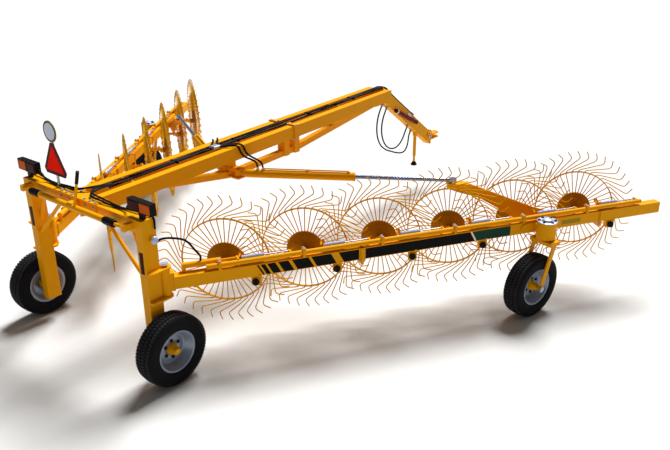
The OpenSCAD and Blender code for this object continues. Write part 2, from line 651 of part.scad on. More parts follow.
// Fold cylinder barrel about its pin, and its rod with the open eye
module fold_place(s) { translate([fold_pin_x, fold_pin_y, fold_z]) rotate([0, 0, -fold_yaw(s)]) children(); }
module fold_barrel(s) color(yellow) fold_place(s)
    difference() {
        union() {
            translate([0, 95, 0]) rotate([-90, 0, 0]) cylinder(d = fold_barrel_d, h = fold_barrel_l - 95);
            rotate([-90, 0, 0]) cylinder(d = 56, h = 110);
            translate([0, 0, -36]) cylinder(d = 78, h = 72);
            translate([0, 0, -66]) cylinder(d = fold_pin_d, h = 132);
        }
        translate([0, 130, 0]) rotate([-90, 0, 0]) cylinder(d = fold_rod_d + 2 * fit, h = fold_barrel_l);
    }
module fold_rod(s) color(zinc) fold_place(s)
    union() {
        translate([0, fold_barrel_l - 60, 0])
            rotate([-90, 0, 0]) cylinder(d = fold_rod_d, h = fold_l(s) - fold_barrel_l + 60);
        translate([0, fold_l(s), -22]) cylinder(d = 84, h = 44);
    }

machine() tongue();
machine() cross_sleeve();
machine() drawbar();
machine() hitch();
machine() jack_leg();
machine() manual_tube();
machine() sign_board();
machine() width_screw();
machine() tongue_hoses();
for (i = [1 : len(front_routes)]) {
    machine() front_hose(i);
}
for (s = ["right", "left"]) side(s) lamp();  // lamps
for (s = ["right", "left"]) {
    side(s) leg();
    side(s) tyre();
    side(s) rim();
    arm_side(s) beam();
    arm_side(s) fold_bracket();
    arm_side(s) lift_cylinder();
    arm_side(s) lift_pipe();
    side(s) fold_barrel(s);
    side(s) fold_rod(s);
    arm_side(s) caster_fork();
    arm_side(s) caster_tyre();
    arm_side(s) caster_rim();
    for (k = [1 : wheel_n]) {
        arm_side(s) crank(k);
        arm_side(s) rake_wheel(k);
    }
}
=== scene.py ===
# %% [markdown]
# # A bi-fold wheel rake
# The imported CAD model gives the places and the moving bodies. This lesson paints it, grows the parts that
# repeat with Geometry Nodes, and sets a plain studio around it. All lengths are in metres, with +Y the way
# of travel.

# %% Load the frame
import json
import math

import bmesh
import bpy
from mathutils import Matrix, Vector


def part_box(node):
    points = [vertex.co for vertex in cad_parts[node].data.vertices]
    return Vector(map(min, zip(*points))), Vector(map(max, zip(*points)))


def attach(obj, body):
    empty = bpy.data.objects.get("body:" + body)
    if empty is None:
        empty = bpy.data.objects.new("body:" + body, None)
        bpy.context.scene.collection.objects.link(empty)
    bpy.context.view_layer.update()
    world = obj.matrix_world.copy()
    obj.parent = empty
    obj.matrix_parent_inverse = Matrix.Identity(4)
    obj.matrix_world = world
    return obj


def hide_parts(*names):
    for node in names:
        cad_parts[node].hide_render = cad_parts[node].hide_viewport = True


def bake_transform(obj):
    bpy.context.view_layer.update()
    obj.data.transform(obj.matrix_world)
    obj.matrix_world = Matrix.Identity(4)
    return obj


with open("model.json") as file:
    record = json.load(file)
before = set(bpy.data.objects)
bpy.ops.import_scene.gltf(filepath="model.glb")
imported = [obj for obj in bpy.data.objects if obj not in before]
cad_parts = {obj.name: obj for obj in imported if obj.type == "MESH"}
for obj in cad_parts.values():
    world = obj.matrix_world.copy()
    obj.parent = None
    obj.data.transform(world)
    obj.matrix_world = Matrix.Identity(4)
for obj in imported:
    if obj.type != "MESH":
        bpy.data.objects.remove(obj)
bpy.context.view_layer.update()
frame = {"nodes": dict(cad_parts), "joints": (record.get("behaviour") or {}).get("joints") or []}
joints = {j["name"]: j for j in frame["joints"]}
SIDES = ("right", "left")
WHEELS = range(1, 7)
MM = 0.001

# %% [markdown]
# ## Small tools
# One function turns a screen colour into a linear one, one adds a node with its settings and links, and
# one runs a Geometry Nodes tree and keeps only the finished mesh.


# %% Small tools
def linear(colour):
    """An sRGB hex colour as linear RGBA."""
    parts = [int(colour[i : i + 2], 16) / 255 for i in (1, 3, 5)]
    return (*[c / 12.92 if c <= 0.04045 else ((c + 0.055) / 1.055) ** 2.4 for c in parts], 1.0)


def add(tree, kind, inputs=(), **settings):
    """Adds a node, sets its properties, then sets or links its inputs by name or number."""
    node = tree.nodes.new(kind)
    for key, value in settings.items():
        setattr(node, key, value)
    for key, value in dict(inputs).items():
        if isinstance(value, bpy.types.NodeSocket):
            tree.links.new(value, node.inputs[key])
        else:
            node.inputs[key].default_value = value
    return node


def new_tree(name, **sockets):
    """A Geometry Nodes tree with named inputs; returns the tree and its input sockets."""
    tree = bpy.data.node_groups.new(name, "GeometryNodeTree")
    tree.interface.new_socket("Geometry", in_out="INPUT", socket_type="NodeSocketGeometry")
    for key, kind in sockets.items():
        tree.interface.new_socket(key.replace("_", " "), in_out="INPUT", socket_type="NodeSocket" + kind)
    tree.interface.new_socket("Geometry", in_out="OUTPUT", socket_type="NodeSocketGeometry")
    return tree, add(tree, "NodeGroupInput").outputs


def close_tree(tree, geometry, material):
    """Realizes the instances, paints them and ends the tree."""
    real = add(tree, "GeometryNodeRealizeInstances", {"Geometry": geometry})
    painted = add(tree, "GeometryNodeSetMaterial", {"Geometry": real.outputs[0], "Material": material})
    add(tree, "NodeGroupOutput", {"Geometry": painted.outputs[0]})
    return tree


def grow(tree, base=None, **values):
    """Runs a tree on a base mesh and returns the finished mesh."""
    holder = bpy.data.objects.new(tree.name, base or bpy.data.meshes.new(tree.name))
    bpy.context.scene.collection.objects.link(holder)
    modifier = holder.modifiers.new(tree.name, "NODES")
    modifier.node_group = tree
    for item in tree.interface.items_tree:
        key = item.name.replace(" ", "_")
        if item.in_out == "INPUT" and key in values:
            modifier[item.identifier] = values[key]
    graph = bpy.context.evaluated_depsgraph_get()
    mesh = bpy.data.meshes.new_from_object(holder.evaluated_get(graph))
    bpy.data.objects.remove(holder)
    return mesh


def line_mesh(points):
    """A mesh of edges through the points, the base of a swept wire or hose."""
    mesh = bpy.data.meshes.new("line")
    mesh.from_pydata([tuple(p) for p in points], [(i, i + 1) for i in range(len(points) - 1)], [])
    return mesh


def solid(name, vertices, faces, material, smooth=False):
    """A painted mesh from vertices and faces."""
    mesh = bpy.data.meshes.new(name)
    mesh.from_pydata([tuple(v) for v in vertices], [], faces)
    mesh.materials.append(material)
    mesh.polygons.foreach_set("use_smooth", [smooth] * len(mesh.polygons))
    return mesh


def lathe(name, profile, material, segments=64):
    """Turns a closed profile of (radius, place along X) round the X axis."""
    count = len(profile)
    vertices = []
    for i in range(segments):
        turn = 2 * math.pi * i / segments
        vertices += [(x, r * math.sin(turn), r * math.cos(turn)) for r, x in profile]
    faces = []
    for i in range(segments):
        a, b = i * count, ((i + 1) % segments) * count
        faces += [(a + k, a + (k + 1) % count, b + (k + 1) % count, b + k) for k in range(count)]
    return solid(name, vertices, faces, material, smooth=True)


def slab(low, high, cut, paint):
    """A box between two corners with its edges rounded off."""
    mesh = bpy.data.meshes.new("slab")
    shape = bmesh.new()
    bmesh.ops.create_cube(shape, size=1)
    for vertex in shape.verts:
        vertex.co = [high[i] if vertex.co[i] > 0 else low[i] for i in range(3)]
    bmesh.ops.bevel(shape, geom=shape.edges[:], offset=cut, segments=2, profile=0.5, affect="EDGES")
    shape.to_mesh(mesh)
    shape.free()
    mesh.materials.append(paint)
    return mesh


def plate(outline, back, front, paint):
    """A flat plate from an outline of (X, Z) points, between two places along Y."""
    count = len(outline)
    vertices = [(x, back, z) for x, z in outline] + [(x, front, z) for x, z in outline]
    faces = [tuple(range(count)), tuple(range(2 * count - 1, count - 1, -1))]
    faces += [(i, i + count, (i + 1) % count + count, (i + 1) % count) for i in range(count)]
    return solid("plate", vertices, faces, paint)


def around(radius, count):
    """Even places on a circle, as pairs of across and up."""
    turns = [2 * math.pi * i / count for i in range(count)]
    return [(radius * math.sin(a), radius * math.cos(a)) for a in turns]


def circle(radius, x, z, count=48):
    """The outline of a round plate."""
    return [(x + across, z + up) for across, up in around(radius, count)]


def smooth(points, steps=5):
    """Points on the smooth curve that passes through the given ones."""
    points = [Vector(p) for p in points]
    line = []
    for i in range(len(points) - 1):
        a, b, c, d = (points[min(max(j, 0), len(points) - 1)] for j in (i - 1, i, i + 1, i + 2))
        for k in range(steps):
            u = k / steps
            line.append(b + (c - a) * (u / 2) + (2 * a - 5 * b + 4 * c - d) * (u * u / 2)
                        + (3 * b - a - 3 * c + d) * (u**3 / 2))
    return line + [points[-1]]


def merged(name, *meshes):
    """Several meshes as one, keeping their materials."""
    holders = [bpy.data.objects.new(name, m) for m in meshes]
    for holder in holders:
        bpy.context.scene.collection.objects.link(holder)
    with bpy.context.temp_override(active_object=holders[0], selected_editable_objects=holders):
        bpy.ops.object.join()
    mesh = holders[0].data
    bpy.data.objects.remove(holders[0])
    return mesh


def placed(mesh, matrix):
    """A copy of a mesh moved by a matrix, with its faces outward after a mirror."""
    copy = mesh.copy()
    copy.transform(matrix)
    if matrix.determinant() < 0:
        copy.flip_normals()
    return copy


def piece(name, mesh, body, slot, *nodes):
    """Shows a mesh, on a body if one is named, and hides the nodes that it replaces. The slot is not used."""
    obj = bpy.data.objects.new(name, mesh)
    bpy.context.scene.collection.objects.link(obj)
    if body:
        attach(obj, body)
    if nodes:
        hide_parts(*nodes)
    return obj


# %% [markdown]
# ## Materials
# Each material is a Principled shader. A noise in object coordinates, sized in millimetres, keeps large
# faces from looking like plastic. Paint and dark materials have little gloss, because the pale room would
# turn them grey.


# %% Materials
def material(name, colour, rough, metal=0.0, patch_mm=120, change=0.06, gloss=0.4, grain_mm=0, grain=0.0):
    """A procedural material: a base colour with soft patches and, if asked for, a fine grain in relief."""
    made = bpy.data.materials.new(name)
    made.use_nodes = True
    tree = made.node_tree
    tree.nodes.clear()
    place = add(tree, "ShaderNodeTexCoord").outputs["Object"]
    noise = add(tree, "ShaderNodeTexNoise", {"Vector": place, "Scale": 1 / (patch_mm * MM), "Detail": 3.0})
    darker = tuple(c * (1 - change) for c in linear(colour)[:3]) + (1.0,)
    mix = add(tree, "ShaderNodeMix", {0: noise.outputs[0], 6: darker, 7: linear(colour)}, data_type="RGBA")
    shader = add(
        tree,
        "ShaderNodeBsdfPrincipled",
        {"Base Color": mix.outputs[2], "Roughness": rough, "Metallic": metal, "Specular IOR Level": gloss},
    )
    if grain:
        fine = add(tree, "ShaderNodeTexNoise", {"Vector": place, "Scale": 1 / (grain_mm * MM), "Detail": 2.0})
        bump = add(tree, "ShaderNodeBump", {"Height": fine.outputs[0], "Strength": grain, "Distance": MM})
        tree.links.new(bump.outputs[0], shader.inputs["Normal"])
    add(tree, "ShaderNodeOutputMaterial", {"Surface": shader.outputs[0]})
    return made


# Sprayed enamel: an even satin yellow with a faint orange peel, drawn coarser than real.
YELLOW = material(
    "Yellow enamel paint", "#F2A400", 0.46, patch_mm=250, change=0.06, gloss=0.06, grain_mm=4, grain=0.05
)
# Painted wire: the same yellow, patchy where the crop rubs it.
TINE = material("Yellow painted spring wire", "#E6AA00", 0.5, patch_mm=60, change=0.2, gloss=0.06)
# Disc paint: the frame's yellow made browner and darker as painted shade, because the discs lean away from
# the light; it has hardly any shine.
DISC_SHADE_PAINT = material("Worn yellow disc paint", "#B47600", 0.5, patch_mm=90, change=0.12, gloss=0.08)
# Moulded rubber: nearly black and dull, with a fine grain drawn coarser than real.
RUBBER = material("Tyre rubber", "#131316", 0.75, patch_mm=40, change=0.2, gloss=0.1, grain_mm=3, grain=0.25)
# Tread: the same rubber, but paler.
TREAD = material("Dusty tread rubber", "#2E2D31", 0.8, patch_mm=60, change=0.3, gloss=0.15)
# Sprayed silver: a blue-grey with soft highlights.
RIM = material("Silver wheel paint", "#8E96A8", 0.3, metal=0.35, patch_mm=150, change=0.06)
# Plated and ground rod: smooth, with a dark blue-grey base colour that is a painted reflection of the sky.
CHROME = material("Hard chrome", "#8C98BC", 0.22, metal=0.8, patch_mm=200, change=0.03)
# Zinc plate: pale, with a bluish tint that is a painted reflection of the sky, and small clouds.
ZINC = material("Zinc-plated steel", "#BCC6DC", 0.34, metal=0.5, patch_mm=20, change=0.2)
# Drawn spring wire: pale, with a bluish tint that is a painted reflection of the sky, and soft highlights.
SPRING = material("Bright spring steel", "#BCC8E6", 0.34, metal=0.2, patch_mm=30, change=0.12)
# Moulded plastic: black with a soft sheen.
BLACK = material("Black moulded plastic", "#101012", 0.5, patch_mm=50, change=0.15, gloss=0.1)
# Wrapped hose cover: matt black, with the cloth's print as a grain drawn coarser than real.
HOSE = material(
    "Black hydraulic hose", "#0C0C0E", 0.6, patch_mm=30, change=0.2, gloss=0.1, grain_mm=2, grain=0.2
)
# Printed vinyl film: flat and even, with a low sheen.
BAND = material("Black vinyl film", "#0E0D0B", 0.45, patch_mm=300, change=0.1, gloss=0.06)
GREEN = material("Dark green vinyl film", "#12402F", 0.45, patch_mm=300, change=0.05, gloss=0.08)
WHITE = material("White vinyl film", "#F1F1EC", 0.45, patch_mm=200, change=0.03)
LABEL = material("Faded olive label", "#A88A10", 0.5, patch_mm=100, change=0.08, gloss=0.1)
# Moulded acrylic: a deep colour broken up by its prisms, which are drawn coarser than real.
RED_LENS = material("Red lamp lens", "#460402", 0.3, patch_mm=10, change=0.4, gloss=0.04)
AMBER_LENS = material("Amber lamp lens", "#EA6600", 0.3, patch_mm=10, change=0.5, gloss=0.03)
# Sign sheets: a flat bright red, a dark border, and a pale plate in a painted rim.
SIGN_RED = material("Orange-red sign sheet", "#FF1A00", 0.6, patch_mm=200, change=0.04, gloss=0.02)
SIGN_EDGE = material("Dark red reflective border", "#4E0608", 0.45, patch_mm=25, change=0.15, gloss=0.06)
SIGN_PALE = material("Pale sign sheet", "#C9D2E4", 0.45, patch_mm=120, change=0.05)
SIGN_RIM = material("Yellow-brown sign rim", "#8A6410", 0.45, patch_mm=60, change=0.1, gloss=0.2)
# Moulded tube: dark red with a soft sheen.
MAROON = material("Maroon plastic tube", "#620A10", 0.45, patch_mm=80, change=0.1, gloss=0.1)

# %% [markdown]
# ## Paint for the CAD pieces
# Every CAD node takes the paint of its record slot, so nothing stays grey.

# %% Paint the CAD pieces
PAINTS = {
    "yellow_paint": YELLOW,
    "tyre_rubber": RUBBER,
    "rim_silver": RIM,
    "chrome_rod": CHROME,
    "black_parts": BLACK,
    "sign_red": SIGN_RED,
    "manual_maroon": MAROON,
}
SLOT_OF = {
    "tyre": "tyre_rubber",
    "caster_tyre": "tyre_rubber",
    "rim": "rim_silver",
    "caster_rim": "rim_silver",
    "fold_rod": "chrome_rod",
    "lamps": "black_parts",
    "jack_leg": "black_parts",
    "tongue_hoses": "black_parts",
    "front_hose_1": "black_parts",
    "front_hose_2": "black_parts",
    "sign_board": "sign_red",
    "manual_tube": "manual_maroon",
}
for name, obj in frame["nodes"].items():
    short = name.replace("right_", "").replace("left_", "")
    obj.data.materials.clear()
    obj.data.materials.append(PAINTS[SLOT_OF.get(short, "yellow_paint")])

# %% [markdown]
# ## Trees for what repeats
# Five trees do most of the work: tines round an axle, a wire or hose along a line, a coil spring, bolts on
# points, and copies of a block round a wheel.


# %% Trees for what repeats
def swept(tree, line, radius, bend, sides):
    """Nodes that round a line's corners and sweep a circle along it."""
    curve = add(tree, "GeometryNodeMeshToCurve", {"Mesh": line})
    fillet = add(
        tree,
        "GeometryNodeFilletCurve",
        {"Curve": curve.outputs[0], "Radius": bend, "Count": 4, "Limit Radius": True},
        mode="POLY",
    )
    profile = add(tree, "GeometryNodeCurvePrimitiveCircle", {"Resolution": sides, "Radius": radius})
    tube = add(
        tree,
        "GeometryNodeCurveToMesh",
        {"Curve": fillet.outputs[0], "Profile Curve": profile.outputs[0], "Fill Caps": True},
    )
    return add(tree, "GeometryNodeSetShadeSmooth", {"Geometry": tube.outputs[0]}).outputs[0]


def round_axle(tree, geometry, count):
    """Nodes that turn copies of a geometry evenly round the X axis."""
    points = add(tree, "GeometryNodePoints", {"Count": count})
    step = add(tree, "ShaderNodeMath", {0: 2 * math.pi, 1: count}, operation="DIVIDE")
    index = add(tree, "GeometryNodeInputIndex")
    turn = add(tree, "ShaderNodeMath", {0: index.outputs[0], 1: step.outputs[0]}, operation="MULTIPLY")
    angles = add(tree, "ShaderNodeCombineXYZ", {"X": turn.outputs[0]})
    return add(
        tree,
        "GeometryNodeInstanceOnPoints",
        {"Points": points.outputs[0], "Instance": geometry, "Rotation": angles.outputs[0]},
    ).outputs[0]


wheel_tines, given = new_tree(
    "Tines round an axle", Count="Int", Wire_Radius="Float", Bend="Float", Material="Material"
)
one_tine = swept(wheel_tines, given["Geometry"], given["Wire Radius"], given["Bend"], 7)
close_tree(wheel_tines, round_axle(wheel_tines, one_tine, given["Count"]), given["Material"])

hose_line, given = new_tree("Hose along a line", Radius="Float", Bend="Float", Material="Material")
tube = swept(hose_line, given["Geometry"], given["Radius"], given["Bend"], 12)
close_tree(hose_line, tube, given["Material"])

copies_round, given = new_tree("Copies round an axle", Count="Int", Material="Material")
ring_of = round_axle(copies_round, given["Geometry"], given["Count"])
close_tree(copies_round, ring_of, given["Material"])

coil_spring, given = new_tree(
    "Coil spring",
    Turns="Float",
    Length="Float",
    Coil_Radius="Float",
    Wire_Radius="Float",
    Material="Material",
)
spiral = add(
    coil_spring,
    "GeometryNodeCurveSpiral",
    {
        "Resolution": 12,
        "Rotations": given["Turns"],
        "Start Radius": given["Coil Radius"],
        "End Radius": given["Coil Radius"],
        "Height": given["Length"],
    },
)
wire_circle = {"Resolution": 6, "Radius": given["Wire Radius"]}
wire = add(coil_spring, "GeometryNodeCurvePrimitiveCircle", wire_circle)
coil = add(
    coil_spring,
    "GeometryNodeCurveToMesh",
    {"Curve": spiral.outputs[0], "Profile Curve": wire.outputs[0], "Fill Caps": True},
)
smooth_coil = add(coil_spring, "GeometryNodeSetShadeSmooth", {"Geometry": coil.outputs[0]})
close_tree(coil_spring, smooth_coil.outputs[0], given["Material"])

bolt_heads, given = new_tree(
    "Bolts on points", Head_Radius="Float", Head_Height="Float", Direction="Vector", Material="Material"
)
head = add(
    bolt_heads,
    "GeometryNodeMeshCylinder",
    {"Vertices": 6, "Radius": given["Head Radius"], "Depth": given["Head Height"]},
)
wide = add(bolt_heads, "ShaderNodeMath", {0: given["Head Radius"], 1: 1.35}, operation="MULTIPLY")
thin = add(bolt_heads, "ShaderNodeMath", {0: given["Head Height"], 1: 0.4}, operation="MULTIPLY")
washer = add(
    bolt_heads,
    "GeometryNodeMeshCylinder",
    {"Vertices": 20, "Radius": wide.outputs[0], "Depth": thin.outputs[0]},
)
both = add(bolt_heads, "GeometryNodeJoinGeometry")
bolt_heads.links.new(head.outputs[0], both.inputs[0])
bolt_heads.links.new(washer.outputs[0], both.inputs[0])
facing = add(bolt_heads, "FunctionNodeAlignRotationToVector", {"Vector": given["Direction"]}, axis="Z")
on_points = add(
    bolt_heads,
    "GeometryNodeInstanceOnPoints",
    {"Points": given["Geometry"], "Instance": both.outputs[0], "Rotation": facing.outputs[0]},
)
close_tree(bolt_heads, on_points.outputs[0], given["Material"])


def hose(points, radius, bend=0.05, paint=HOSE):
    """A hose, pipe or bent rod through the points."""
    return grow(hose_line, line_mesh(points), Radius=radius, Bend=bend, Material=paint)


def bolts(points, direction, radius=0.014, height=0.012, paint=ZINC):
    """Hexagon heads on the points, facing one way."""
    base = bpy.data.meshes.new("bolt points")
    base.from_pydata([tuple(p) for p in points], [], [])
    return grow(
        bolt_heads, base, Head_Radius=radius, Head_Height=height, Direction=tuple(direction), Material=paint
    )


# %% [markdown]
# ## Places
# A piece of the frame is made on the right and mirrored about the middle plane. Each arm has a matrix of
# its own, because the left arm stands wider: it takes a point of the arm (out from the hub line, along the
# arm, up) to its place. Heights are from the ground, and Y is counted from the road wheels' axle.

# %% Places
axle = {side: Vector(joints[f"{side}_road_wheel_spin"]["pos_m"]) for side in SIDES}
MIDDLE = (axle["right"].x + axle["left"].x) / 2
REAR = axle["right"].y
MACHINE = Matrix.Translation((MIDDLE, REAR, 0))
MIRROR = Matrix.Scale(-1, 4, (1, 0, 0))


def sided(side):
    """From a point of the right half, X from the middle and Y from the axle, to its place on one side."""
    return MACHINE if side == "right" else MACHINE @ MIRROR


def local(joint, side):
    """A joint's place as a point of the right half."""
    return sided(side).inverted() @ Vector(joints[f"{side}_{joint}"]["pos_m"])


def arm_place(side):
    """From a point of the arm to its place on one side."""
    first, last = local("rake_spin_1", side), local("rake_spin_6", side)
    along = last - first
    turn = Matrix.Rotation(-math.atan2(along.x, along.y), 4, "Z")
    return sided(side) @ Matrix.Translation((first.x, first.y, 0)) @ turn


def wheel_place(side, k):
    """From a rake wheel's own frame, X along its axle, to its place."""
    axis = sided(side).to_3x3().inverted() @ Vector(joints[f"{side}_rake_spin_{k}"]["axis"])
    axis = axis if axis.x > 0 else -axis
    turn = Matrix.Rotation(math.atan2(axis.y, axis.x), 4, "Z")
    return sided(side) @ Matrix.Translation(local(f"rake_spin_{k}", side)) @ turn


PITCH = (local("rake_spin_6", "right") - local("rake_spin_1", "right")).length / 5

# %% [markdown]
# ## Rake wheels
# Forty round wires leave the hub discs, pass the ring, sweep round it and end in a hook. Every wheel is the
# same mesh in its place.

# %% Rake wheels
TIP, RING, DISC = 0.700, 0.445, 0.190
ELBOW, SWEEP, TIP_SWEEP = 0.615, math.radians(28), math.radians(24)
RING_WIRE, RING_X = 0.006, 0.0105
TINES, WIRE_R, WIRE_BEND = 40, 0.0056, 0.040
hook = [(0, 0, 0.10), (0, 0, RING + 0.020)]
hook += [(0, r * math.sin(a), r * math.cos(a)) for r, a in ((ELBOW, SWEEP), (TIP - 0.007, TIP_SWEEP))]
tines = grow(wheel_tines, line_mesh(hook), Count=TINES, Wire_Radius=WIRE_R, Bend=WIRE_BEND, Material=TINE)
rings = [
    lathe("ring", [(RING + up, x + across) for across, up in around(RING_WIRE, 8)], TINE, 96)
    for x in (RING_X, -RING_X)
]
hub_profile = [
    (0.019, -0.040),
    (0.036, -0.040),
    (0.038, -0.036),
    (0.038, -0.012),
    (DISC - 0.004, -0.0115),
    (DISC, -0.009),
    (DISC, 0.009),
    (DISC - 0.004, 0.0115),
    (0.038, 0.012),
    (0.038, 0.048),
    (0.036, 0.052),
    (0.019, 0.052),
]
# The hub discs take the disc paint, whose browner yellow is painted shade.
hub = lathe("hub", hub_profile, DISC_SHADE_PAINT, 72)
# The disc bolts take the same paint, so they carry the same painted shade.
disc_bolts = [
    bolts([(way * 0.015, *spot) for spot in around(0.12, 6)], (way, 0, 0), 0.010, 0.010, DISC_SHADE_PAINT)
    for way in (1, -1)
]
rake_wheel = merged("rake wheel", tines, *rings, hub, *disc_bolts)
for side in SIDES:
    for k in WHEELS:
        body = f"{side}_rake_wheel_{k}"
        mesh = placed(rake_wheel, wheel_place(side, k))
        piece(f"{side}_tined_wheel_{k}", mesh, body, "yellow_paint", body)

# %% [markdown]
# ## Tyres and rims
# The tyre is a turned section with four ribs of small blocks. The rim is a deep turned dish with a yellow
# hub and nuts.

# %% Tyres and rims
RIM_R = 0.208
tyre_section = [
    (RIM_R - 0.012, -0.075),
    (RIM_R + 0.006, -0.088),
    (RIM_R + 0.030, -0.098),
    (0.290, -0.1025),
    (0.318, -0.099),
    (0.338, -0.088),
    (0.347, -0.072),
    (0.3505, -0.040),
    (0.351, 0.0),
    (0.3505, 0.040),
    (0.347, 0.072),
    (0.338, 0.088),
    (0.318, 0.099),
    (0.290, 0.1025),
    (RIM_R + 0.030, 0.098),
    (RIM_R + 0.006, 0.088),
    (RIM_R - 0.012, 0.075),
]


def block(x0, x1, y0, y1, z0, z1, shift):
    """A tread block as a small box whose top is narrower and whose ends slant by a shift."""
    low = [(x0, y0, z0), (x1, y0 + shift, z0), (x1, y1 + shift, z0), (x0, y1, z0)]
    cut = 0.003
    high = [
        (x0 + cut, y0 + cut, z1),
        (x1 - cut, y0 + shift + cut, z1),
        (x1 - cut, y1 + shift - cut, z1),
        (x0 + cut, y1 - cut, z1),
    ]
    return low + high, [(4, 5, 6, 7), (0, 1, 5, 4), (1, 2, 6, 5), (2, 3, 7, 6), (3, 0, 4, 7)]


PITCHES, BLOCK_L, TREAD_FOOT = 66, 0.028, 0.335
tread_v, tread_f = [], []
for x0, x1, y0, z1, shift in (
    (-0.084, -0.051, -0.014, 0.3535, 0.006),
    (-0.043, -0.004, -0.010, 0.3585, -0.008),
    (0.004, 0.043, -0.006, 0.3585, 0.008),
    (0.051, 0.084, -0.010, 0.3535, -0.006),
):
    v, f = block(x0, x1, y0, y0 + BLOCK_L, TREAD_FOOT, z1, shift)
    tread_f += [tuple(i + len(tread_v) for i in face) for face in f]
    tread_v += v
tread = grow(copies_round, solid("tread", tread_v, tread_f, TREAD), Count=PITCHES, Material=TREAD)
tyre = merged("tyre", lathe("carcass", tyre_section, RUBBER, 88), tread)

rim_section = [
    (RIM_R - 0.022, -0.078),
    (RIM_R - 0.002, -0.080),
    (RIM_R + 0.004, -0.086),
    (RIM_R - 0.006, -0.090),
    (RIM_R - 0.026, -0.082),
    (RIM_R - 0.034, -0.060),
    (RIM_R - 0.048, -0.056),
    (RIM_R - 0.050, -0.026),
    (0.125, -0.024),
    (0.105, -0.008),
    (0.055, -0.006),
    (0.055, 0.002),
    (0.108, 0.001),
    (0.130, -0.014),
    (RIM_R - 0.046, -0.014),
    (RIM_R - 0.042, 0.044),
    (RIM_R - 0.026, 0.050),
    (RIM_R - 0.020, 0.080),
    (RIM_R - 0.006, 0.090),
    (RIM_R + 0.004, 0.086),
    (RIM_R - 0.002, 0.080),
    (RIM_R - 0.014, 0.078),
]
rim = lathe("rim dish", rim_section, RIM, 72)
hub_cap = lathe(
    "wheel hub",
    [(0.023, -0.055), (0.054, -0.055), (0.058, -0.05), (0.058, 0.008), (0.052, 0.014), (0.046, 0.040),
     (0.038, 0.048), (0.034, 0.085), (0.028, 0.092), (0.023, 0.092)],
    YELLOW,
    40,
)
nuts = bolts([(0.008, *spot) for spot in around(0.086, 6)], (1, 0, 0), 0.012, 0.016, BLACK)
wheel_rim = merged("rim", rim, hub_cap, nuts)
WHEEL_KINDS = (("road_wheel", "road_wheel_spin", ""), ("caster_wheel", "caster_spin", "caster_"))
for side in SIDES:
    for wheel, spin, kind in WHEEL_KINDS:
        body = f"{side}_{wheel}"
        joint = joints[f"{side}_{spin}"]
        axis = Vector(joint["axis"])
        out = axis if (axis.x > 0) == (side == "right") else -axis
        place = Matrix.Translation(joint["pos_m"]) @ Matrix.Rotation(math.atan2(out.y, out.x), 4, "Z")
        piece(f"{body}_tread_tyre", placed(tyre, place), body, "tyre_rubber", f"{side}_{kind}tyre")
        piece(f"{body}_dish_rim", placed(wheel_rim, place), body, "rim_silver", f"{side}_{kind}rim")

# %% [markdown]
# ## Film on the arms
# Black blocks that grow longer, a black band, a blank green panel and a blank olive label lie half a
# millimetre off the beam's outer face.

# %% Film on the arms
BEAM_OUT, BEAM_LOW, BEAM_TOP = 0.420, 0.905, 1.030
LEAN = 0.06


def film(s0, s1, lean0=LEAN, lean1=LEAN, paint=BAND, low=BEAM_LOW + 0.006, high=BEAM_TOP - 0.008):
    """A flat piece of film on the right beam's outer face, from s0 to s1 along its top edge."""
    x = BEAM_OUT + 0.0006
    corners = [(x, s0, high), (x, s1, high), (x, s1 + lean1, low), (x, s0 + lean0, low)]
    return solid("film", corners, [(3, 2, 1, 0)], paint)


BLOCKS = ((0.215, 0.233), (0.252, 0.296), (0.317, 0.398), (0.427, 0.530), (0.566, 0.735), (0.764, 0.970))
films = [film(s0, s1) for s0, s1 in BLOCKS]
films += [
    film(1.050, 1.270, lean1=0.0),
    film(1.340, 2.535, lean0=0.0),
    film(2.540, 2.556, paint=WHITE),
    film(2.560, 3.030, lean1=0.0, paint=GREEN),
    film(3.690, 3.940, lean0=0.0, lean1=0.0, paint=LABEL, low=0.940, high=0.990),
]
arm_film = merged("arm film", *films)
for side in SIDES:
    piece(f"{side}_arm_film", placed(arm_film, arm_place(side)), f"{side}_arm", "black_parts")

# %% [markdown]
# ## Free hoses
# Two hoses hang in loops under the drawbar, from one fitting to another. Their points are those of the CAD
# tubes: the place across, then points ahead of the tongue's end and up.

# %% Free hoses
TONGUE_END = 4.880
HOSE_D = 0.022
front_routes = {
    "front_hose_1": (
        -0.022,
        [(0.085, 1.545), (0.056, 1.504), (0.020, 1.440), (-0.008, 1.365), (-0.022, 1.280), (-0.020, 1.190),
         (0.000, 1.105), (0.040, 1.020), (0.100, 0.945), (0.180, 0.885), (0.270, 0.835), (0.370, 0.795),
         (0.470, 0.755), (0.570, 0.722), (0.665, 0.702), (0.750, 0.710), (0.808, 0.760), (0.836, 0.825),
         (0.848, 0.885), (0.860, 0.943), (0.889, 0.984)],
    ),
    "front_hose_2": (
        0.022,
        [(0.142, 1.505), (0.114, 1.464), (0.078, 1.400), (0.050, 1.325), (0.038, 1.245), (0.042, 1.165),
         (0.065, 1.085), (0.105, 1.010), (0.160, 0.945), (0.230, 0.895), (0.310, 0.862), (0.395, 0.850),
         (0.480, 0.862), (0.555, 0.900), (0.615, 0.955), (0.660, 1.020), (0.688, 1.063), (0.717, 1.104)],
    ),
}
for name, (x, route) in front_routes.items():
    path = [MACHINE @ p for p in smooth([(x, TONGUE_END + y, z) for y, z in route], 3)]
    length = sum((b - a).length for a, b in zip(path, path[1:]))
    mesh = hose(path, HOSE_D / 2, 0.005)
    loop = piece(f"{name}_rubber", mesh, "frame", "black_parts", name)
    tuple(path[0])

# %% [markdown]
# ## Springs and pipe clamps
# Each crank has a close coil spring on a bright rod, which moves with the lift pipe. Bolts hold the pipe's
# guides, and bolted flanges join the lengths of the beam.

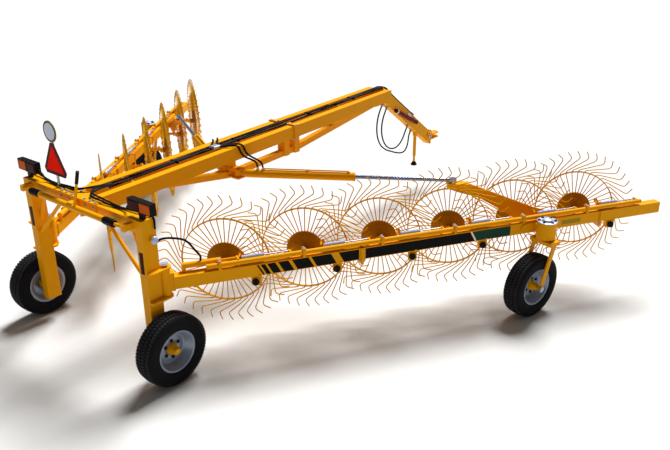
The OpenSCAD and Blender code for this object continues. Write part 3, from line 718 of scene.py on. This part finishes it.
# %% Springs and pipe clamps
SPRING_X, SPRING_Z, SPRING_FROM, SPRING_L, ROD_TO = 0.338, 1.085, 0.090, 0.225, 0.575
upright_to_along = Matrix.Rotation(-math.pi / 2, 4, "X")
one_coil = grow(
    coil_spring, Turns=30.0, Length=SPRING_L, Coil_Radius=0.0205, Wire_Radius=0.0040, Material=SPRING
)
coils, guide_bolts, rods = [], [], []
for k in range(6):
    start_s = k * PITCH + SPRING_FROM
    coils.append(placed(one_coil, Matrix.Translation((SPRING_X, start_s, SPRING_Z)) @ upright_to_along))
    rod_line = [(SPRING_X, start_s + SPRING_L, SPRING_Z), (SPRING_X, k * PITCH + ROD_TO, SPRING_Z)]
    rods.append(hose(rod_line, 0.0078, 0, ZINC))
    guide_bolts += [(x, k * PITCH - 0.135, 1.118) for x in (0.372, 0.408)]
springs = merged("springs", *coils, *rods)
clamps = bolts(guide_bolts, (0, 0, 1), 0.009, 0.008)
JOINTS_AT = (1.305, 4.215)
joint_spots = [(x, s) for s in JOINTS_AT for x in (0.330, 0.370, 0.410)]
joint_bolts = [
    bolts([(x, s + way * 0.026, 0.889) for x, s in joint_spots], (0, way, 0), 0.010, 0.009) for way in (1, -1)
]
beam_bolts = merged("beam bolts", clamps, *joint_bolts)
flanges = [slab((0.304, s - 0.013, 0.852), (0.436, s + 0.013, 1.034), 0.003, YELLOW) for s in JOINTS_AT]
joint_flanges = merged("joint flanges", *flanges)
for side in SIDES:
    place = arm_place(side)
    piece(f"{side}_joint_flanges", placed(joint_flanges, place), f"{side}_arm", "yellow_paint")
    piece(f"{side}_coil_springs", placed(springs, place), f"{side}_lift", "chrome_rod")
    piece(f"{side}_beam_bolts", placed(beam_bolts, place), f"{side}_arm", "chrome_rod")

# %% [markdown]
# ## Crank bushes and caster heads
# Black caps close the cranks' shafts. The fifth is thin, because the caster's fork swings close by it. A
# bright ring and cap with six bolts lie on each caster's pivot.

# %% Crank bushes and caster heads
SHAFT_END, PIVOT_S, PIVOT_Z = 0.310, 0.352, 0.850
WHEEL_TURN = math.radians(23.6)
THIN_BUSH, THIN_SHARE = 5, 0.25
bush = lathe(
    "bush",
    [(0.002, 0.0), (0.034, 0.0), (0.036, 0.003), (0.036, 0.010), (0.030, 0.016), (0.002, 0.016)],
    BLACK,
    28,
)
for side in SIDES:
    for k in WHEELS:
        station = Matrix.Translation((0, (k - 1) * PITCH, 0)) @ Matrix.Rotation(-WHEEL_TURN, 4, "Z")
        spot = arm_place(side) @ station @ Matrix.Translation((SHAFT_END, PIVOT_S, PIVOT_Z))
        depth = Matrix.Diagonal((THIN_SHARE if k == THIN_BUSH else 1, 1, 1, 1))
        piece(f"{side}_bush_{k}", placed(bush, spot @ depth), f"{side}_crank_{k}", "black_parts")

along_to_up = Matrix.Rotation(-math.pi / 2, 4, "Y")
head_ring = lathe(
    "head ring", [(0.041, 0), (0.112, 0), (0.114, 0.003), (0.110, 0.007), (0.043, 0.007)], ZINC, 56
)
head_cap = lathe(
    "head cap",
    [(0.002, 0.009), (0.041, 0.007), (0.056, 0.007), (0.056, 0.016), (0.048, 0.024), (0.024, 0.026),
     (0.002, 0.026)],
    SPRING,
    40,
)
head_bolts = bolts([(*spot, 0.012) for spot in around(0.085, 6)], (0, 0, 1), 0.012, 0.014, BLACK)
head_parts = [placed(mesh, along_to_up) for mesh in (head_ring, head_cap)]
caster_head = merged("caster head", *head_parts, head_bolts)
HEAD_TOP = 1.0758
for side in SIDES:
    pivot = Vector(joints[f"{side}_caster_swivel"]["pos_m"])
    mesh = placed(caster_head, Matrix.Translation((pivot.x, pivot.y, HEAD_TOP)))
    piece(f"{side}_caster_top", mesh, f"{side}_caster", "chrome_rod")
    spin = joints[f"{side}_caster_spin"]
    axis = Vector(spin["axis"])
    axle_nuts = [
        bolts([Vector(spin["pos_m"]) + axis * way * 0.152], axis * way, 0.024, 0.014) for way in (1, -1)
    ]
    piece(f"{side}_axle_nuts", merged("axle nuts", *axle_nuts), f"{side}_caster", "chrome_rod")

# %% [markdown]
# ## Lamps, reflectors and leg pins
# Each lamp box has a red lens inside and an amber one outside. A red strip, a bright pin end and a long
# brace are on each leg.

# %% Lamps, reflectors and leg pins
lamp_low, lamp_high = (sided("right").inverted() @ Vector(corner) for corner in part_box("lamps"))
LAMP_OUT, LAMP_L = lamp_high.x, 0.322
LAMP_BACK, LAMP_Z0, LAMP_Z1 = lamp_low.y, 1.704, 1.816
LAMP_MID = LAMP_OUT - 0.48 * LAMP_L
LENS_EDGE = 0.012


def lens(x0, x1, paint):
    """A lens in the lamp's rear face, from x0 to x1."""
    low = (x0, LAMP_BACK - 0.006, LAMP_Z0 + LENS_EDGE)
    high = (x1, LAMP_BACK + 0.01, LAMP_Z1 - LENS_EDGE)
    return slab(low, high, 0.005, paint)


lenses = [
    lens(LAMP_OUT - LAMP_L + LENS_EDGE, LAMP_MID - LENS_EDGE, RED_LENS),
    lens(LAMP_MID + 0.004, LAMP_OUT - 0.010, AMBER_LENS),
]
divider = slab(
    (LAMP_MID - 0.010, LAMP_BACK - 0.008, LAMP_Z0),
    (LAMP_MID + 0.002, LAMP_BACK + 0.01, LAMP_Z1),
    0.002,
    BLACK,
)
reflector = slab((0.882, -0.0935, 1.116), (0.932, -0.0885, 1.331), 0.0015, RED_LENS)
pin_cap = lathe(
    "pin cap",
    [(0.002, 0.0), (0.036, 0.0), (0.038, 0.004), (0.038, 0.014), (0.026, 0.024), (0.002, 0.025)],
    SPRING,
    32,
)
pin_cap = placed(pin_cap, Matrix.Translation((0.9795, 0.014, 1.440)))
hinge_head = bolts([(0.9515, 0.114, 1.160)], (0, 0, 1), 0.030, 0.012)
brace = hose([(0.350, -0.045, 1.515), (0.860, -0.045, 1.048)], 0.019, 0, YELLOW)
leg_trim = merged("leg trim", *lenses, divider, reflector, pin_cap, hinge_head, brace)
for side in SIDES:
    piece(f"{side}_leg_trim", placed(leg_trim, sided(side)), "frame", "black_parts")

# %% [markdown]
# ## Sign
# A slow vehicle triangle with cut corners and a round plate, both blank, stand on a bright post.

# %% Sign
SIGN_X, SIGN_BACK, TRIANGLE_Z, DISC_Z = -0.405, -0.036, 1.890, 2.205
POST_FOOT, POST_TOP = 1.650, 2.170


def triangle(radius, cut):
    """A triangle about the sign's middle, point up, with its corners cut by a share of the sides."""
    corners = [Vector(spot) for spot in around(radius, 3)]
    points = []
    for i in range(3):
        here, before, after = corners[i], corners[i - 1], corners[(i + 1) % 3]
        points += [here + (before - here) * cut, here + (after - here) * cut]
    return [(SIGN_X + p.x, TRIANGLE_Z + p.y) for p in points]


sign = merged(
    "sign",
    plate(triangle(0.249, 0.13), SIGN_BACK + 0.008, SIGN_BACK, SIGN_EDGE),
    plate(triangle(0.176, 0.02), SIGN_BACK + 0.004, SIGN_BACK - 0.0008, SIGN_RED),
    plate(circle(0.107, SIGN_X, DISC_Z), SIGN_BACK + 0.008, SIGN_BACK, SIGN_RIM),
    plate(circle(0.095, SIGN_X, DISC_Z), SIGN_BACK + 0.004, SIGN_BACK - 0.0006, BLACK),
    plate(circle(0.086, SIGN_X, DISC_Z), SIGN_BACK + 0.004, SIGN_BACK - 0.0012, SIGN_PALE),
    hose([(SIGN_X, SIGN_BACK + 0.016, POST_FOOT), (SIGN_X, SIGN_BACK + 0.016, POST_TOP)], 0.0138, 0, ZINC),
)
piece("blank_sign", placed(sign, MACHINE), "frame", "sign_red", "sign_board")

# %% [markdown]
# ## Width screw and sleeve
# Black boots cover the screw, a grip covers the lever's end, and bolts clamp the arch.

# %% Width screw and sleeve
SCREW_Y, SCREW_Z = -0.170, 1.580
boot_profile = [(0.017, 0.0), (0.033, 0.0), (0.036, 0.006)]
boot_profile += [(0.0375 if i % 2 else 0.0345, 0.012 + i * 0.009) for i in range(15)]
boot_profile += [(0.033, 0.150), (0.017, 0.152)]
boot = placed(lathe("boot", boot_profile, BLACK, 36), Matrix.Translation((0.535, SCREW_Y, SCREW_Z)))
sleeve_bolts = [
    bolts([(x, y, 1.655) for x in (0.10, 0.19, 0.27) for y in (-0.075, 0.025)], (0, 0, 1), 0.012, 0.012),
    bolts([(x, -0.104, z) for x in (0.13, 0.26) for z in (1.540, 1.610)], (0, -1, 0), 0.012, 0.012),
]
arch_trim = merged("arch trim", boot, *sleeve_bolts)
for side in SIDES:
    piece(f"{side}_arch_trim", placed(arch_trim, sided(side)), "frame", "black_parts")
lever_foot, lever_end = Vector((0.065, SCREW_Y, SCREW_Z)), Vector((0.205, SCREW_Y, SCREW_Z + 0.385))
grip_from = lever_foot.lerp(lever_end, 0.69)
grip = hose([grip_from, lever_foot.lerp(lever_end, 1.012)], 0.0165, 0, BLACK)
piece("lever_grip", placed(grip, MACHINE), "frame", "black_parts")

# %% [markdown]
# ## Fold cylinders
# A pipe with two ports runs along each barrel, and a gland closes its end.

# %% Fold cylinders
BARREL_R, BARREL_L = 0.048, 1.340
gland = lathe(
    "gland",
    [(0.0235, 0), (0.0495, 0), (0.0505, 0.004), (0.0505, 0.030), (0.046, 0.036), (0.0235, 0.036)],
    YELLOW,
    40,
)
gland = placed(gland, Matrix.Translation((0, BARREL_L - 0.030, 0)) @ Matrix.Rotation(math.pi / 2, 4, "Z"))
PIPE_Z, PORTS = BARREL_R + 0.014, (0.23, 0.29)
fold_pipe = hose(
    [(0, PORTS[1], BARREL_R - 0.01), (0, PORTS[1], PIPE_Z), (0, 1.27, PIPE_Z), (0, 1.27, BARREL_R - 0.01)],
    0.008,
    0.01,
    YELLOW,
)
ports = [
    slab((-0.016, y - 0.018, BARREL_R - 0.012), (0.016, y + 0.018, BARREL_R + 0.012), 0.003, YELLOW)
    for y in (*PORTS, 0.80, 1.27)
]
ports += [hose([(0, y, BARREL_R), (0, y, BARREL_R + 0.034)], 0.0135, 0, ZINC) for y in PORTS]
fold_trim = merged("fold trim", gland, fold_pipe, *ports)


def fold_place(side):
    """From the fold cylinder's own frame, Y along the barrel, to its place."""
    rod_way = sided(side).to_3x3().inverted() @ Vector(joints[f"{side}_fold_rod_slide"]["axis"])
    turn = Matrix.Rotation(-math.atan2(-rod_way.x, -rod_way.y), 4, "Z")
    return sided(side) @ Matrix.Translation(local("fold_barrel_turn", side)) @ turn


for side in SIDES:
    piece(f"{side}_fold_trim", placed(fold_trim, fold_place(side)), f"{side}_fold_cylinder", "black_parts")

# %% [markdown]
# ## Hoses
# A bundle lies between the tongue's beams and spreads over the arch to the lamps and legs.

# %% Hoses
CHANNEL_FROM, CHANNEL_Z0, CHANNEL_Z1 = 0.22, 1.6634, 1.8272
TONGUE_RISE = (CHANNEL_Z1 - CHANNEL_Z0) / (TONGUE_END - 2 * CHANNEL_FROM)


def channel(x, y, up=0.0):
    """A point on the cross plates between the tongue's beams."""
    return (x, y, CHANNEL_Z0 + (y - CHANNEL_FROM) * TONGUE_RISE + up)


stations = [0.24 + 0.442 * i for i in range(10)]
bundle = []
for n, x in enumerate((-0.042, -0.006, 0.034)):
    sway = 0.020 * (-1) ** n
    line = [channel(x + sway * math.sin(2.1 * y + n), y, 0.004 * (n % 2)) for y in stations]
    line += [(x, 4.79, 1.842), (x * 0.8, 4.885, 1.852)]
    bundle.append(hose(smooth(line, 3), 0.0115, 0.01))
ties = [
    slab(channel(-0.066, y - 0.008, -0.013), channel(0.058, y + 0.008, 0.016), 0.003, BLACK)
    for y in (1.1, 2.0, 3.3, 4.2)
]
tee = slab(channel(-0.010, 1.60, 0.004), channel(0.075, 1.70, 0.034), 0.006, ZINC)
bundle_mesh = merged("bundle", *bundle, *ties, tee)
piece("tongue_bundle", placed(bundle_mesh, MACHINE), "frame", "black_parts", "tongue_hoses")

DRAWBAR_SLOPE, DRAWBAR_Z = math.radians(34.88), 1.755


def on_drawbar(x, run, up):
    """A point by the run along the drawbar's middle line from the tongue and the height square to it."""
    ahead = run * math.cos(DRAWBAR_SLOPE) + up * math.sin(DRAWBAR_SLOPE)
    return (x, TONGUE_END + ahead, DRAWBAR_Z - run * math.sin(DRAWBAR_SLOPE) + up * math.cos(DRAWBAR_SLOPE))


front = []
for x, end in ((0.042, 0.90), (0.018, 0.86), (-0.012, 0.66)):
    line = [(x, 4.80, 1.846), (x, 4.89, 1.853), (x, 4.985, 1.815), on_drawbar(x, 0.22, 0.098)]
    line += [on_drawbar(x, run, 0.096) for run in (0.34, 0.48, 0.62)] + [on_drawbar(x, end, 0.097)]
    front.append(hose(smooth(line, 4), 0.0105, 0.01))
    tip = [on_drawbar(x, end, 0.097), on_drawbar(x, end + 0.075, 0.099)]
    front.append(hose(tip, 0.0145, 0, ZINC if x < 0 else BLACK))
piece("drawbar_hoses", placed(merged("drawbar hoses", *front), MACHINE), "frame", "black_parts")

arch_hoses = [
    [(0.02, 0.30, 1.672), (0.05, 0.12, 1.682), (0.12, -0.02, 1.678), (0.30, -0.03, 1.668),
     (0.50, -0.02, 1.652), (0.64, -0.015, 1.665), (0.70, -0.02, 1.715), (0.755, -0.025, 1.750)],
    [(-0.01, 0.30, 1.674), (0.02, 0.10, 1.690), (0.11, 0.01, 1.682), (0.30, 0.005, 1.668),
     (0.52, 0.005, 1.652), (0.66, 0.012, 1.655), (0.80, 0.03, 1.660), (0.90, 0.035, 1.668),
     (0.97, 0.04, 1.640), (0.9735, 0.04, 1.540)],
]
LIFT_PORT = Vector((0.328, -0.300, 1.118))
for side in SIDES:
    place = sided(side)
    lines = [hose(smooth(line, 4), 0.0095, 0.01) for line in arch_hoses]
    piece(f"{side}_arch_hoses", placed(merged("arch hoses", *lines), place), "frame", "black_parts")
    port = place.inverted() @ arm_place(side) @ LIFT_PORT
    arc = [(0.972, 0.050, 1.405), (0.990, 0.075, 1.430), (1.040, 0.150, 1.430), (1.105, 0.260, 1.385),
           port + Vector((0.0, -0.05, 0.12)), port + Vector((0.0, 0.0, 0.05)), port]
    mesh = placed(hose(smooth(arc, 5), 0.0105, 0.01), place)
    lead = piece(f"{side}_lift_lead", mesh, None, "black_parts")
    place @ Vector(arc[1])
    place @ Vector(arc[-1])
    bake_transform(lead)
    ports_at = place.inverted() @ fold_place(side)
    for n, (y, back) in enumerate(zip(PORTS, (0.0, 0.07))):
        end = ports_at @ Vector((0, y, BARREL_R + 0.024))
        fall = [channel(0.04, 1.64 + back, 0.012), (0.100, 1.74 + back, 1.735), (0.165, 1.80 + back, 1.742),
                (0.206, 1.84 + back, 1.718), (0.226, 1.89 + back, 1.610),
                end + Vector((-0.03, -0.01, 0.07)), end]
        mesh = placed(hose(smooth(fall, 5), 0.0110, 0.01), place)
        drop = piece(f"{side}_fold_lead_{n}", mesh, None, "black_parts")
        place @ Vector(fall[3])
        place @ Vector(fall[-1])
        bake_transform(drop)

# %% [markdown]
# ## Drawbar, jack and hitch
# The document tube has a black cap and a pale ring, the drawbar a blank pale label, and the jack a black
# foot.

# %% Drawbar, jack and hitch
tube_back, tube_front = Vector((0.0853, 5.186, 1.4577)), Vector((0.0853, 5.764, 1.1628))
tube_cap = hose([tube_front.lerp(tube_back, 0.05), tube_front.lerp(tube_back, -0.012)], 0.0325, 0, BLACK)
tube_ring = hose([tube_back.lerp(tube_front, 0.05), tube_back.lerp(tube_front, 0.08)], 0.0315, 0, WHITE)
LABEL_CORNERS = ((0.815, 0.070), (0.930, 0.070), (0.930, 0.000), (0.815, 0.000))
label = solid("label", [on_drawbar(0.0556, run, up) for run, up in LABEL_CORNERS], [(3, 2, 1, 0)], WHITE)
HITCH_Y, HITCH_Z = 6.230, 0.840
HITCH_SPOTS = ((0, 0.042), (-0.036, -0.021), (0.036, -0.021))
hitch_bolts = [
    bolts([(way * 0.0735, HITCH_Y + y, HITCH_Z + z) for y, z in HITCH_SPOTS], (way, 0, 0), 0.012, 0.012)
    for way in (1, -1)
]
head_spots = [(x, 4.908, z) for x in (-0.165, -0.09, 0.09, 0.165) for z in (1.705, 1.805)]
head_plate_bolts = bolts(head_spots, (0, 1, 0), 0.012, 0.012)
FLANGE_Y, FLANGE_Z = 2.810, 1.6787
flange_spots = [
    (half * (0.15 + x), FLANGE_Z + z) for half in (1, -1) for x in (-0.054, 0.054) for z in (-0.083, 0.083)
]
flange_bolts = [
    bolts([(x, FLANGE_Y + way * 0.024, z) for x, z in flange_spots], (0, way, 0), 0.011, 0.010)
    for way in (1, -1)
]
FITTINGS = ((-0.022, 0.190), (-0.022, 1.170), (0.022, 0.260), (0.022, 0.960))
down = Vector((0, -math.sin(DRAWBAR_SLOPE), -math.cos(DRAWBAR_SLOPE)))
fittings = bolts([on_drawbar(x, run, -0.106) for x, run in FITTINGS], down, 0.0215, 0.020)
front_bolts = [*hitch_bolts, head_plate_bolts, *flange_bolts, fittings]
trim = merged("front trim", tube_cap, tube_ring, label, *front_bolts)
piece("front_trim", placed(trim, MACHINE), "frame", "chrome_rod")
jack_low, jack_high = (Vector(corner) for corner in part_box("jack_leg"))
JACK = (jack_low + jack_high) / 2
foot = lathe(
    "foot",
    [(0.002, 0.0), (0.046, 0.0), (0.050, 0.004), (0.050, 0.016), (0.036, 0.034), (0.027, 0.056),
     (0.002, 0.057)],
    BLACK,
    40,
)
foot = placed(foot, Matrix.Translation((JACK.x, JACK.y, jack_low.z)) @ along_to_up)
inner = hose([(JACK.x, JACK.y, jack_low.z + 0.010), (JACK.x, JACK.y, jack_high.z)], 0.0184, 0, YELLOW)
piece("jack_inner", merged("jack inner", inner, foot), "jack", "black_parts", "jack_leg")

# %% [markdown]
# ## Camera
# The lens, place and turn were solved from the photo, with the usual sizes of the tyres and rake wheels.

# %% Camera
camera_data = bpy.data.cameras.new("Camera")
camera = bpy.data.objects.new("Camera", camera_data)
bpy.context.scene.collection.objects.link(camera)
camera.location = (MIDDLE + 5.861, REAR - 3.552, 4.077)
camera.rotation_euler = (math.radians(66.862), 0, math.radians(38.402))
camera_data.sensor_width = 36
camera_data.lens = 38.58
camera_data.clip_end = 200
bpy.context.scene.camera = camera

# %% [markdown]
# ## Studio
# A pale floor, an even pale surround and one soft lamp from ahead and above, strong enough to turn the lit
# floor white.

# %% Studio
floor_mesh = solid(
    "floor",
    [(-60, -60, -0.001), (60, -60, -0.001), (60, 60, -0.001), (-60, 60, -0.001)],
    [(0, 1, 2, 3)],
    material("Pale studio floor", "#D9D9D7", 0.9, patch_mm=4000, change=0.01),
)
floor = bpy.data.objects.new("floor", floor_mesh)
bpy.context.scene.collection.objects.link(floor)
sun_data = bpy.data.lights.new("soft key", "SUN")
sun_data.energy = 5.4
sun_data.angle = math.radians(22)
sun = bpy.data.objects.new("soft key", sun_data)
bpy.context.scene.collection.objects.link(sun)
sun.rotation_euler = Vector((0.12, -0.55, -0.83)).to_track_quat("-Z", "Y").to_euler()
world = bpy.data.worlds.new("pale surround")
world.use_nodes = True
surround = world.node_tree.nodes["Background"].inputs
surround["Color"].default_value = linear("#FBFBFA")
surround["Strength"].default_value = 0.13
bpy.context.scene.world = world
bpy.context.scene.view_settings.view_transform = "Standard"
